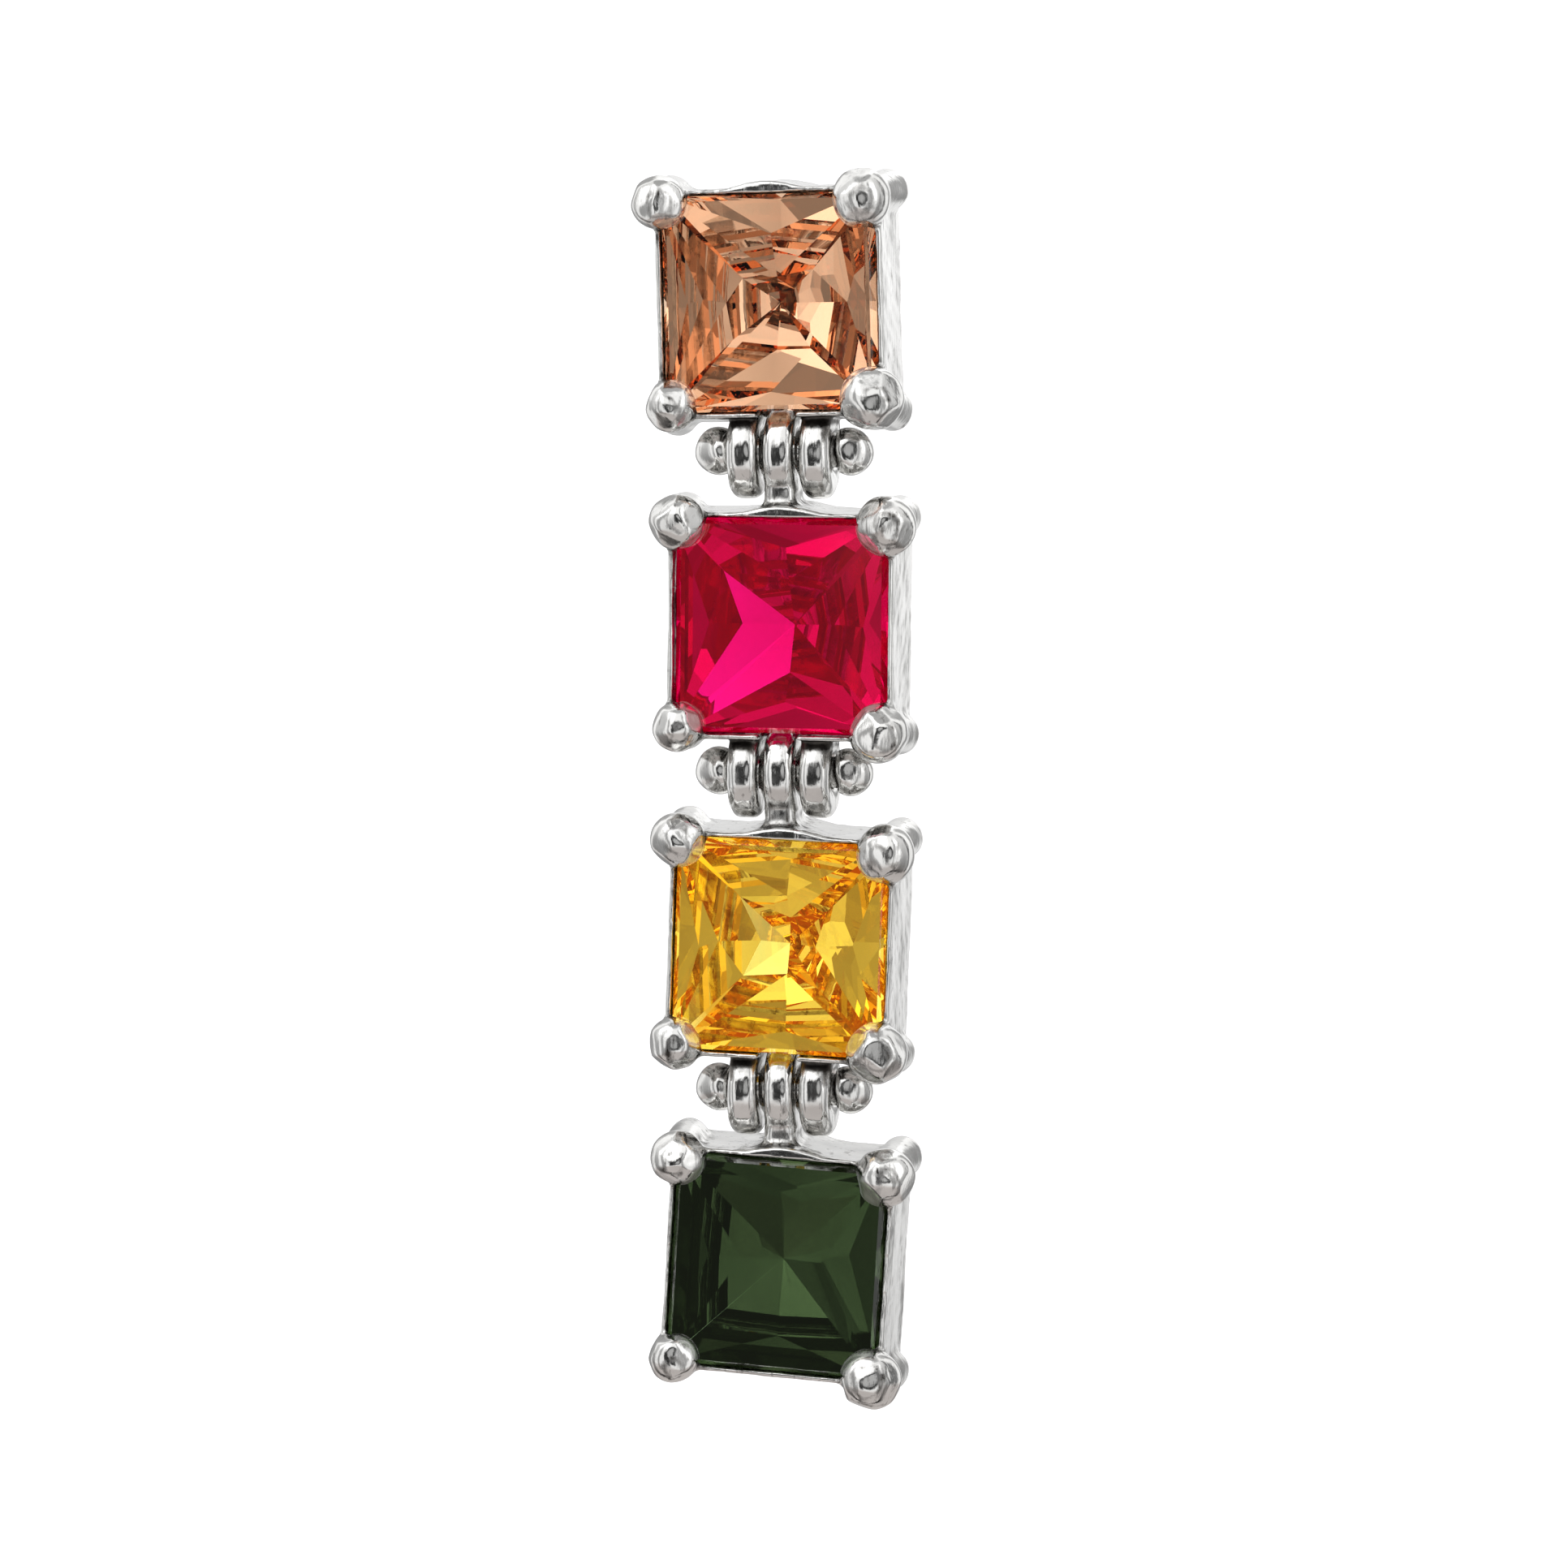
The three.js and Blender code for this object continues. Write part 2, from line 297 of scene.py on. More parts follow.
def ripples(x, y, z, seed, wavelength, waves=9):
    """Smooth noise about 1 high, from plane waves in random directions."""
    rng = np.random.default_rng(seed)
    total = 0.0
    for _ in range(waves):
        direction = rng.normal(size=3)
        direction *= 2 * math.pi / (wavelength * rng.uniform(0.7, 1.5) * np.linalg.norm(direction))
        phase = rng.uniform(0, 2 * math.pi)
        total = total + np.sin(x * direction[0] + y * direction[1] + z * direction[2] + phase)
    return total / math.sqrt(waves)


# ---- meshes ----------------------------------------------------------------------------------------------


def net_of(field, low, high, pitch=GRID):
    """The surface of a field as vertices and quads, with a vertex in each grid cell that it crosses."""
    axes = [np.arange(a, b + pitch, pitch) for a, b in zip(low, high)]
    values = field(*np.meshgrid(*axes, indexing="ij")).astype(np.float32)
    inside = values < 0
    size = np.array(values.shape)
    count = np.zeros(size - 1, np.int8)
    for corner in itertools.product((0, 1), repeat=3):
        count += inside[tuple(slice(c, c + n - 1) for c, n in zip(corner, size))]
    active = (count > 0) & (count < 8)
    index = np.full(size - 1, -1)
    cells = np.argwhere(active)
    index[active] = np.arange(len(cells))
    total, hits = np.zeros((len(cells), 3)), np.zeros(len(cells))
    steps = np.eye(3, dtype=int)
    for axis in range(3):
        for corner in itertools.product((0, 1), repeat=3):
            if corner[axis]:
                continue
            start = cells + corner
            before, after = values[tuple(start.T)], values[tuple((start + steps[axis]).T)]
            crosses = (before < 0) != (after < 0)
            share = np.where(crosses, before / np.where(crosses, before - after, 1), 0)
            total += crosses[:, None] * (start + share[:, None] * steps[axis])
            hits += crosses
    vertices = np.array(low) + pitch * total / hits[:, None]
    quads = []
    inner = [slice(1, n - 1) for n in size]
    for axis in range(3):
        first, second = steps[(axis + 1) % 3], steps[(axis + 2) % 3]
        near = inside[tuple(inner[:axis] + [slice(0, size[axis] - 1)] + inner[axis + 1 :])]
        far = inside[tuple(inner[:axis] + [slice(1, size[axis])] + inner[axis + 1 :])]
        edges = np.argwhere(near != far) + first + second
        around = [edges, edges - first, edges - first - second, edges - second]
        faces = np.stack([index[tuple(a.T)] for a in around], 1)
        outward = near[tuple((edges - first - second).T)]
        faces[~outward] = faces[~outward][:, ::-1]
        quads.append(faces)
    return vertices, np.concatenate(quads)


def slope(field, points, reach=0.01):
    """The gradients of a field at points, and its unit normals there."""
    sides = []
    for axis in range(3):
        step = np.zeros(3)
        step[axis] = reach
        sides.append(field(*(points + step).T) - field(*(points - step).T))
    gradient = np.stack(sides, 1) / (2 * reach)
    return gradient, gradient / np.maximum(np.linalg.norm(gradient, axis=1, keepdims=True), 1e-9)


def settled(field, points, rounds=3):
    """The points moved onto the surface of the field."""
    for _ in range(rounds):
        gradient, unit = slope(field, points)
        steep = np.maximum(np.linalg.norm(gradient, axis=1), 0.3)
        points = points - unit * np.clip(field(*points.T) / steep, -GRID / 2, GRID / 2)[:, None]
    return points


def shelter(field, points):
    """How deep in a recess each point of the surface lies, from 0 in the open to about 1."""
    _, unit = slope(field, points)
    total = 0.0
    for reach in (0.15, 0.35, 0.7):
        free = field(*(points + unit * reach).T)
        total = total + 0.4 * np.clip(1.0 - free / reach, 0.0, 1.0)
    return total


def mesh_object(name, vertices, faces, material, smooth=True):
    """A mesh object from vertices in metres and faces given as rows of indices."""
    mesh = bpy.data.meshes.new(name)
    mesh.from_pydata(np.asarray(vertices).tolist(), [], [list(map(int, f)) for f in faces])
    mesh.polygons.foreach_set("use_smooth", [smooth] * len(mesh.polygons))
    mesh.materials.append(material)
    mesh.validate()
    mesh.update()
    piece = bpy.data.objects.new(name, mesh)
    bpy.context.scene.collection.objects.link(piece)
    return piece


def painted_reflection_ring(points, spot, radius):
    """A painted reflection: one dark ring round a spot, taller than wide, uneven, and about 0.1 mm thick,
    that stands in for the dark room mirrored in a prong ball.
    """
    away = np.linalg.norm((points - spot) * (1.2, 1, 0.85), axis=1) + 0.1 * ripples(*points.T, 3, 0.5)
    faint = 0.38 + 0.12 * ripples(*points.T, 4, 0.7)
    return faint * np.exp(-(((away - radius) / 0.1) ** 2))


def store_patina_and_painted_reflection(piece, values):
    """The patina of each vertex, with any painted reflection rings, from 0 to 1, stored where the silver's
    material reads it.
    """
    layer = piece.data.attributes.new("patina", "FLOAT", "POINT")
    layer.data.foreach_set("value", np.asarray(values, np.float32))


def bands_of_quads(bands, sides):
    """The faces of a surface of rings of points, each ring joined to the next."""
    faces = []
    for row in range(bands):
        for k in range(sides):
            a, b = row * sides + k, row * sides + (k + 1) % sides
            faces.append((a, b, b + sides, a + sides))
    return faces


def cast_piece(name, field, low, high, middle, material, painted_reflections=()):
    """A piece of cast silver from a field in its own frame, whose origin lies at middle. Its recesses get a
    patina, and its painted reflections are added to it: dark rings, as (middle, radius) pairs, that stand
    in for the dark room mirrored on the prong balls."""
    points, faces = net_of(field, low, high)
    points = settled(field, points)
    patina_and_painted_reflection = shelter(field, points)
    # Painted reflection: dark rings on the fronts of the prong balls, added to the patina.
    for spot, radius in painted_reflections:
        patina_and_painted_reflection = np.maximum(patina_and_painted_reflection, painted_reflection_ring(points, spot, radius))
    piece = mesh_object(name, (points + np.array(middle)) * MM, faces, material)
    store_patina_and_painted_reflection(piece, patina_and_painted_reflection)
    return piece


# ---- settings --------------------------------------------------------------------------------------------


def leaning(x, z, link):
    """Straight coordinates of a link turned into those of its leaning box."""
    turn = math.radians(link["tilt"])
    shifted = x - link["aside"]
    u = shifted * math.cos(turn) - z * math.sin(turn)
    v = shifted * math.sin(turn) + z * math.cos(turn)
    return u, v


def straight(u, v, link):
    """Coordinates of a link's leaning box turned into its straight ones."""
    turn = math.radians(link["tilt"])
    x = u * math.cos(turn) + v * math.sin(turn) + link["aside"]
    z = v * math.cos(turn) - u * math.sin(turn)
    return x, z


def crest(x):
    """How far the upper edge of a box stands above its flat height: a crest between two dips."""
    wave = np.cos(x / BOX_HALF * 1.5 * math.pi) * np.clip(1 - (x / BOX_HALF) ** 2, 0, 1)
    return np.where(wave > 0, CREST_HEIGHT * wave, DIP_DEPTH * wave)


def square_hole(u, y, v, half, back_y, radius):
    """Distance to a square hole that runs from far in front of the box to back_y."""
    return rounded_box(u, y, v, (-half, -OUTSIDE, -half), (half, back_y, half), radius)


def collet(u, y, v):
    """The box, which narrows a little towards its front, with its seat and its open back."""
    top = np.clip(v / BOX_HALF, 0.0, 1.0)
    flare = 1 + (BOX_HALF / RIM_HALF - 1) * np.clip(-y / BOX_DEPTH, 0.0, 1.0)
    low, high = (-BOX_HALF, -BOX_DEPTH, -BOX_HALF), (BOX_HALF, 0, BOX_HALF)
    body = rounded_box(u * flare, y, (v - crest(u) * top) * flare, low, high, 0.1)
    body = cut(body, square_hole(u, y, v, POCKET_HALF, SEAT_Y, 0.04), 0.05)
    body = cut(body, square_hole(u, y, v, SEAT_HALF, -BACK_FRAME_DEPTH, 0.2), 0.1)
    return cut(body, square_hole(u, y, v, WINDOW_HALF, OUTSIDE, 0.3), 0.15)


def prong(u, y, v, side, level, shape):
    """One prong: a rod up the corner, and a dented ball that leans in over the stone."""
    _, _, size, seed = shape
    rng = np.random.default_rng(seed)
    middle = ball_middle(side, level, shape)
    foot = (side * ROD_FOOT_OUT, ROD_FOOT_Y, level * ROD_FOOT_OUT)
    top_u = 0.5 * middle[0] + 0.5 * side * ROD_TOP_OUT
    top_v = 0.5 * middle[2] + 0.5 * level * ROD_TOP_OUT
    rod = round_rod(u, y, v, foot, (top_u, ROD_TOP_Y, top_v), ROD_FOOT_RADIUS, ROD_TOP_RADIUS)
    ball = ellipsoid(u, y, v, middle, size * rng.uniform(0.94, 1.04, 3))
    for _ in range(BALL_DENTS):
        dent = rng.normal(size=3) * (0.9, 0.4, 0.9) + (0, -0.8, 0)
        dent /= np.linalg.norm(dent)
        reach = size * rng.uniform(0.86, 0.95)
        flat = (u - middle[0]) * dent[0] + (y - middle[1]) * dent[1] + (v - middle[2]) * dent[2] - reach
        ball = cut(ball, -flat, 0.06)
    return blended(rod, ball, 0.25)


def ball_middle(side, level, shape):
    """The middle of a prong's ball in its leaning box."""
    return np.array((side * BALL_OUT + shape[0], BALL_Y, level * BALL_OUT + shape[1]))


def painted_ball_reflections(link):
    """Painted reflections: dark rings on the fronts of the balls that stand in for the dark room they mirror,
    as (middle, ring radius) pairs in the link's straight frame."""
    painted_reflections = []
    for (side, level), shape in zip(PRONG_SIDES, link["prongs"]):
        _, _, size, seed = shape
        rng = np.random.default_rng(seed + 100)
        out = np.array((0.15 + rng.uniform(-0.2, 0.2), -1.0, rng.uniform(-0.25, 0.1)))
        u, y, v = ball_middle(side, level, shape) + out / np.linalg.norm(out) * size
        x, z = straight(u, v, link)
        painted_reflections.append((np.array((x, y, z)), size * rng.uniform(0.38, 0.5)))
    return painted_reflections


def with_post_bar(body, u, v, x, y, z):
    """A setting with the bar across its open back, and the solder round the foot of the ear post."""
    low = (-BAR_HALF_WIDTH, -BACK_FRAME_DEPTH, POST_HEIGHT - BAR_HALF_HEIGHT)
    high = (BAR_HALF_WIDTH, 0, POST_HEIGHT + BAR_HALF_HEIGHT)
    body = blended(body, rounded_box(u, y, v, low, high, 0.1), 0.15)
    foot = round_rod(x, y, z, (0, -0.3, POST_HEIGHT), (0, 0.15, POST_HEIGHT), 0.8, 0.5)
    return blended(body, foot, 0.2)


def with_upper_loop(body, x, y, z):
    """A setting with the loop on its top, on a short neck."""
    neck = rounded_box(x, y, z, (-LOOP_HALF_WIDTH, -2.35, 3.1), (LOOP_HALF_WIDTH, -0.55, 4.0), 0.25)
    return blended(body, blended(neck, ring(x, y, z, 0, UPPER_HINGE_Z), 0.15), 0.3)


def with_lower_loops(body, x, y, z):
    """A setting with the two loops under it, and a slot between them for the next link's loop."""
    low, high = (-SLOT_HALF_WIDTH, -OUTSIDE, -OUTSIDE), (SLOT_HALF_WIDTH, -0.2, -2.15)
    slot = rounded_box(x, y, z, low, high, 0.12)
    left = ring(x, y, z, -LOOP_SPACING, LOWER_HINGE_Z)
    right = ring(x, y, z, LOOP_SPACING, LOWER_HINGE_Z)
    return blended(cut(body, slot, 0.08), np.minimum(left, right), 0.12)


def setting_field(number, link):
    """The field of one whole setting in its link's straight frame, with the ripples of the casting."""

    def field(x, y, z):
        u, v = leaning(x, z, link)
        body = collet(u, y, v)
        for (side, level), shape in zip(PRONG_SIDES, link["prongs"]):
            body = blended(body, prong(u, y, v, side, level, shape), 0.2)
        if number == 0:
            body = with_post_bar(body, u, v, x, y, z)
        else:
            body = with_upper_loop(body, x, y, z)
        if link is not LINKS[-1]:
            body = with_lower_loops(body, x, y, z)
        body = body + 0.012 * ripples(x, y, z, number, 1.8) + 0.004 * ripples(x, y, z, 50 + number, 0.5)
        held = gem_field(u, y, v, CUTS[link["stone"]]) - 0.03
        return cut(body, held, 0.03)

    return field


def outer_slope(shape):
    """The slope of a stone's pavilion next to its girdle."""
    fall, width = shape["depth"], 0.0
    for slope_here, next_width in shape["rows"]:
        fall -= slope_here * (next_width - width)
        width = next_width
    return fall / (STONE_HALF - width)


def gem_field(u, y, v, shape):
    """A stone's outline, a little simplified, for the room that the silver leaves it."""
    across = np.maximum(np.abs(u), np.abs(v))
    back = GIRDLE_BACK_Y - shape["lift"]
    front = back - GIRDLE_HEIGHT
    crown_slope = CROWN_HEIGHT / (STONE_HALF - TABLE_HALF)
    steep = outer_slope(shape)
    sides = across - STONE_HALF
    crown = (front - y - crown_slope * (STONE_HALF - across)) / math.hypot(1, crown_slope)
    table = front - CROWN_HEIGHT - y
    pavilion = (y - back - steep * (STONE_HALF - across)) / math.hypot(1, steep)
    corner = (np.abs(u) + np.abs(v) - (2 * STONE_HALF - shape["corner"])) * math.sqrt(0.5)
    return np.maximum.reduce([sides, crown, table, pavilion, corner])


def pin_field(x, y, z):
    """A hinge pin in its own frame, on the hinge line: a wire with a balled head at each end."""
    rng = np.random.default_rng(7)
    body = round_rod(x, y, z, (-PIN_WIRE_X, 0, 0), (PIN_WIRE_X, 0, 0), PIN_RADIUS, PIN_RADIUS)
    for side in (-1, 1):
        head = ellipsoid(x, y, z, (side * PIN_HEAD_X, 0, 0), rng.uniform(0.66, 0.69, 3))
        head = np.maximum(head, PIN_HEAD_START_X - side * x)
        for _ in range(PIN_DENTS):
            dent = rng.normal(size=3) * (0.6, 0.3, 0.6) + (0.3 * side, -0.8, 0)
            dent /= np.linalg.norm(dent)
            flat = (x - side * PIN_HEAD_X) * dent[0] + y * dent[1] + z * dent[2] - 0.61
            head = cut(head, -flat, 0.2)
        body = np.minimum(body, head)
    return body + 0.008 * ripples(x, y, z, 8, 0.9)


# ---- stones and ear post ---------------------------------------------------------------------------------


def cut_corners(half, corner, y):
    """The eight corners of a square outline with its own corners cut off, at depth y."""
    short = half - corner
    return [(a * i, y, b * j) for a, b in ((half, short), (short, half)) for i in (-1, 1) for j in (-1, 1)]


def facet_corners(shape):
    """The corners of all the facets of a stone, in its leaning box."""
    rng = np.random.default_rng(shape["seed"])
    back = GIRDLE_BACK_Y - shape["lift"]
    front = back - GIRDLE_HEIGHT
    points = []
    for half, y in ((STONE_HALF, back), (STONE_HALF, front), (TABLE_HALF, front - CROWN_HEIGHT)):
        points += cut_corners(half, shape["corner"], y)
    points.append((shape["aside"], back + shape["depth"], 0.0))
    fall, width = shape["depth"], 0.0
    for steepness, next_width in shape["rows"]:
        fall -= steepness * (next_width - width)
        width = next_width
        aside = shape["aside"] * (1 - width / STONE_HALF)
        uneven = shape["uneven"] * width / STONE_HALF
        for x, z in ((width, 0), (-width, 0), (0, width), (0, -width)):
            off = rng.uniform(-uneven, uneven, 3) * (1, 0.4, 1)
            points.append((x + aside + off[0], back + fall + off[1], z + off[2]))
    for x, z, proud in shape["corners"]:
        inward = 1 - (abs(x) + abs(z)) / (2 * STONE_HALF)
        points.append((x, back + shape["depth"] * inward + proud, z))
    return points


def cut_stone(link, material):
    """The faceted stone of a link. Its facets are those of the hull of its corners."""
    shell = bmesh.new()
    for point in facet_corners(CUTS[link["stone"]]):
        shell.verts.new(point)
    bmesh.ops.convex_hull(shell, input=shell.verts)
    bmesh.ops.delete(shell, geom=[v for v in shell.verts if not v.link_faces], context="VERTS")
    bmesh.ops.dissolve_limit(shell, angle_limit=math.radians(0.5), verts=shell.verts, edges=shell.edges)
    shell.verts.index_update()
    vertices = []
    for v in shell.verts:
        x, z = straight(v.co.x, v.co.z, link)
        vertices.append((x * MM, v.co.y * MM, (z + FIRST_CENTRE_Z - PITCH * LINKS.index(link)) * MM))
    faces = [[v.index for v in face.verts] for face in shell.faces]
    shell.free()
    return mesh_object(link["stone"] + "_cut", vertices, faces, material, smooth=False)


def post_profile():
    """The ear post's outline as (distance along Y, radius, patina), from inside its foot to its round tip."""
    half = POST_GROOVE_WIDTH / 2
    outline = [(-0.2, 0.0, 0.0), (-0.2, POST_RADIUS, 0.0), (0.5, POST_RADIUS, 0.3), (1.0, POST_RADIUS, 0.0)]
    for k in range(13):
        angle = math.pi * k / 12
        dip = (POST_RADIUS - POST_GROOVE_RADIUS) * math.sin(angle)
        outline.append((POST_GROOVE_Y - half * math.cos(angle), POST_RADIUS - dip, 0.9 * math.sin(angle)))
    for k in range(11):
        angle = math.pi / 2 * k / 10
        y = POST_TIP_Y - POST_RADIUS + POST_RADIUS * math.sin(angle)
        outline.append((y, POST_RADIUS * math.cos(angle), 0.0))
    return outline


def ear_post(material, sides=48):
    """The ear post, turned about its axis."""
    outline = post_profile()
    vertices, patina = [], []
    for y, radius, dark in outline:
        for k in range(sides):
            angle = 2 * math.pi * k / sides
            vertices.append((radius * math.cos(angle) * MM, y * MM, radius * math.sin(angle) * MM))
            patina.append(dark)
    faces = []
    for row in range(len(outline) - 1):
        for k in range(sides):
            a, b = row * sides + k, row * sides + (k + 1) % sides
            faces.append((a, a + sides, b + sides, b))
    piece = mesh_object("ear_post_wire", vertices, faces, material)
    store_patina_and_painted_reflection(piece, patina)
    return piece


# ---- materials -------------------------------------------------------------------------------------------


def new_material(name):
    """A material with a plain shader: itself, its node tree, the shader and the output."""
    material = bpy.data.materials.new(name)
    material.use_nodes = True
    nodes = material.node_tree.nodes
    nodes.clear()
    output = nodes.new("ShaderNodeOutputMaterial")
    shader = nodes.new("ShaderNodeBsdfPrincipled")
    material.node_tree.links.new(shader.outputs["BSDF"], output.inputs["Surface"])
    return material, material.node_tree, shader, output


def noise(tree, size_mm, detail=3.0, roughness=0.5, length=1.0):
    """Noise whose features are about size_mm across, and length times as long along Z."""
    place = tree.nodes.new("ShaderNodeTexCoord")
    stretch = tree.nodes.new("ShaderNodeMapping")
    stretch.inputs["Scale"].default_value = (1.0, 1.0, 1.0 / length)
    tree.links.new(place.outputs["Object"], stretch.inputs["Vector"])
    texture = tree.nodes.new("ShaderNodeTexNoise")
    texture.inputs["Scale"].default_value = 1.0 / (size_mm * MM)
    texture.inputs["Detail"].default_value = detail
    texture.inputs["Roughness"].default_value = roughness
    tree.links.new(stretch.outputs["Vector"], texture.inputs["Vector"])
    return texture.outputs["Fac"]


def ramp(tree, source, stops):
    """A colour ramp over source. stops are (place, colour) pairs, a colour being three numbers."""
    node = tree.nodes.new("ShaderNodeValToRGB")
    elements = node.color_ramp.elements
    while len(elements) < len(stops):
        elements.new(0.5)
    for element, (place, colour) in zip(elements, stops):
        element.position = place
        element.color = (*colour, 1.0)
    tree.links.new(source, node.inputs["Fac"])
    return node.outputs["Color"]


def mixed(tree, share, a, b):
    """Colours a and b mixed by share, as a colour socket."""
    node = tree.nodes.new("ShaderNodeMix")
    node.data_type = "RGBA"
    tree.links.new(share, node.inputs["Factor"])
    tree.links.new(a, node.inputs["A"])
    tree.links.new(b, node.inputs["B"])
    return node.outputs["Result"]


def mapped(tree, source, low, high, to_low, to_high):
    """A value mapped from the range low to high onto the range to_low to to_high."""
    node = tree.nodes.new("ShaderNodeMapRange")
    tree.links.new(source, node.inputs["Value"])
    for name, value in (("From Min", low), ("From Max", high), ("To Min", to_low), ("To Max", to_high)):
        node.inputs[name].default_value = value
    return node.outputs["Result"]


def added(tree, a, b):
    """The sum of two values."""
    node = tree.nodes.new("ShaderNodeMath")
    node.operation = "ADD"
    tree.links.new(a, node.inputs[0])
    tree.links.new(b, node.inputs[1])
    return node.outputs["Value"]


def silver_material():
    """Cast and polished silver, with a dark patina in its recesses, painted dark reflection rings on the
    prong balls, and grey smudges, lines and wear.
    """
    material, tree, shader, _ = new_material("silver")
    shader.inputs["Metallic"].default_value = 1.0
    # The patina attribute also holds the painted reflection rings on the prong balls, which get the dark
    # tarnish colour.
    depth = tree.nodes.new("ShaderNodeAttribute")
    depth.attribute_name = "patina"
    smudges = mapped(tree, noise(tree, 0.55, 5.0, 0.62), 0.5, 0.75, 0.0, 0.3)
    lines = mapped(tree, noise(tree, 0.2, 4.0, 0.6, 9.0), 0.52, 0.72, 0.0, 0.42)
    smudges = added(tree, smudges, lines)
    patina_wear_and_painted_reflection = added(tree, depth.outputs["Fac"], mapped(tree, noise(tree, 0.25), 0.3, 0.7, -0.12, 0.12))
    dark = mapped(tree, added(tree, patina_wear_and_painted_reflection, smudges), 0.2, 0.7, 0.0, 1.0)
    bright = ramp(tree, noise(tree, 0.9), [(0.3, (0.66, 0.655, 0.64)), (0.7, (0.8, 0.795, 0.78))])
    tarnish_and_painted_reflection = ramp(tree, noise(tree, 0.4), [(0.3, (0.02, 0.018, 0.016)), (0.7, (0.12, 0.11, 0.1))])
    tree.links.new(mixed(tree, dark, bright, tarnish_and_painted_reflection), shader.inputs["Base Color"])
    gloss = tree.nodes.new("ShaderNodeMath")
    gloss.operation = "MULTIPLY_ADD"
    tree.links.new(dark, gloss.inputs[0])
    gloss.inputs[1].default_value = 0.3
    tree.links.new(mapped(tree, noise(tree, 0.25), 0.3, 0.7, 0.07, 0.17), gloss.inputs[2])
    tree.links.new(gloss.outputs["Value"], shader.inputs["Roughness"])
    bump = tree.nodes.new("ShaderNodeBump")
    bump.inputs["Strength"].default_value = 0.2
    bump.inputs["Distance"].default_value = 0.03 * MM
    height = added(tree, noise(tree, 0.28, 5.0, 0.55), noise(tree, 0.14, 3.0, 0.5, 10.0))
    tree.links.new(height, bump.inputs["Height"])
    tree.links.new(bump.outputs["Normal"], shader.inputs["Normal"])
    return material


def gem_material(look):
    """A clear stone that bends light as zirconia does, and absorbs it on the way through, with a faint
    painted glow.
    """
    material, tree, shader, output = new_material(look["slot"])
    shader.inputs["Transmission Weight"].default_value = 1.0
    # Painted glow: the stone's emission stands in for light scattered inside it.
    shader.inputs["Emission Color"].default_value = (*look["glow"], 1.0)
    shader.inputs["Emission Strength"].default_value = 1.0
    shader.inputs["Roughness"].default_value = 0.0
    shader.inputs["IOR"].default_value = GEM_IOR
    shade = ramp(tree, noise(tree, 1.5), list(zip((0.3, 0.7), look["tints"])))
    tree.links.new(shade, shader.inputs["Base Color"])
    density = max(look["absorbs"])
    absorb = tree.nodes.new("ShaderNodeVolumeAbsorption")
    absorb.inputs["Color"].default_value = (*(1 - a / density for a in look["absorbs"]), 1.0)
    absorb.inputs["Density"].default_value = density
    tree.links.new(absorb.outputs["Volume"], output.inputs["Volume"])
    return material


# Each stone's look: the tints of light that goes in and out, how strongly it absorbs red, green and blue
# light on the way, per metre, and a faint painted glow that stands in for the light scattered inside it.
GEMS = {
    "champagne_stone": {
        "slot": "champagne_gem",
        "tints": [(0.95, 0.95, 0.9), (0.97, 0.98, 0.95)],
        "absorbs": (6, 86, 155),
        "glow": (0, 0, 0),
    },
    "ruby_stone": {
        "slot": "ruby_gem",
        "tints": [(1, 0.003, 0.22), (1, 0.006, 0.26)],
        "absorbs": (105, 500, 230),
        "glow": (0.05, 0, 0.004),
    },
    "golden_stone": {
        "slot": "golden_gem",
        "tints": [(1, 0.98, 0.24), (1, 1, 0.32)],
        "absorbs": (0, 38, 170),
        "glow": (0.03, 0.008, 0),
    },
    "green_stone": {
        "slot": "green_gem",
        "tints": [(0.5, 0.75, 0.4), (0.6, 0.85, 0.5)],
        "absorbs": (400, 375, 440),
        "glow": (0.002, 0.003, 0.001),
    },
}


# ---- the earring -----------------------------------------------------------------------------------------


def setting_room(number):
    """The corners of the space that a setting's field is sampled in: more above and below where it has loops,
    and more behind where it has the foot of the post."""
    bottom = -5.6 if number < len(LINKS) - 1 else -4.35
    back, top = (0.75, 4.35) if number == 0 else (0.15, 6.3)
    return (-4.35, -4.05, bottom), (4.35, back, top)


def build_setting(number, link, silver):
    """The cast setting of a link, in place of its CAD solid."""
    low, high = setting_room(number)
    middle = (0, 0, FIRST_CENTRE_Z - PITCH * number)
    field = setting_field(number, link)
    # The setting gets painted dark reflection rings on its prong balls.
    piece = cast_piece(link["setting"] + "_cast", field, low, high, middle, silver, painted_ball_reflections(link))
    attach(piece, link["body"])
    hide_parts(link["setting"])


def build_stone(link):
    """The faceted stone of a link, in place of its CAD solid."""
    look = GEMS[link["stone"]]
    stone = cut_stone(link, gem_material(look))
    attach(stone, link["body"])
    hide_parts(link["stone"])


def build_earring():
    """All the pieces, each on its link's body."""
    silver = silver_material()
    for number, link in enumerate(LINKS):
        build_setting(number, link, silver)
        build_stone(link)
    post = ear_post(silver)
    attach(post, "top_link")
    for number, name in enumerate(PINS):
        middle = (0, HINGE_Y, FIRST_CENTRE_Z - PITCH * number + LOWER_HINGE_Z)
        piece = cast_piece(name + "_cast", pin_field, (-2.8, -0.9, -0.9), (2.8, 0.9, 0.9), middle, silver)
        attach(piece, LINKS[number]["body"])
        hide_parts(name)


def light_panel(name, place, aim, width, height, brightness):
    """A softbox, as bright as that many times plain white."""
    data = bpy.data.lights.new(name, "AREA")
    data.shape = "RECTANGLE"
    data.size, data.size_y = width * MM, height * MM
    data.energy = brightness * math.pi * data.size * data.size_y
    lamp = bpy.data.objects.new(name, data)
    lamp.location = Vector(place) * MM
    lamp.rotation_euler = (Vector(aim) - Vector(place)).to_track_quat("-Z", "Y").to_euler()
    bpy.context.scene.collection.objects.link(lamp)


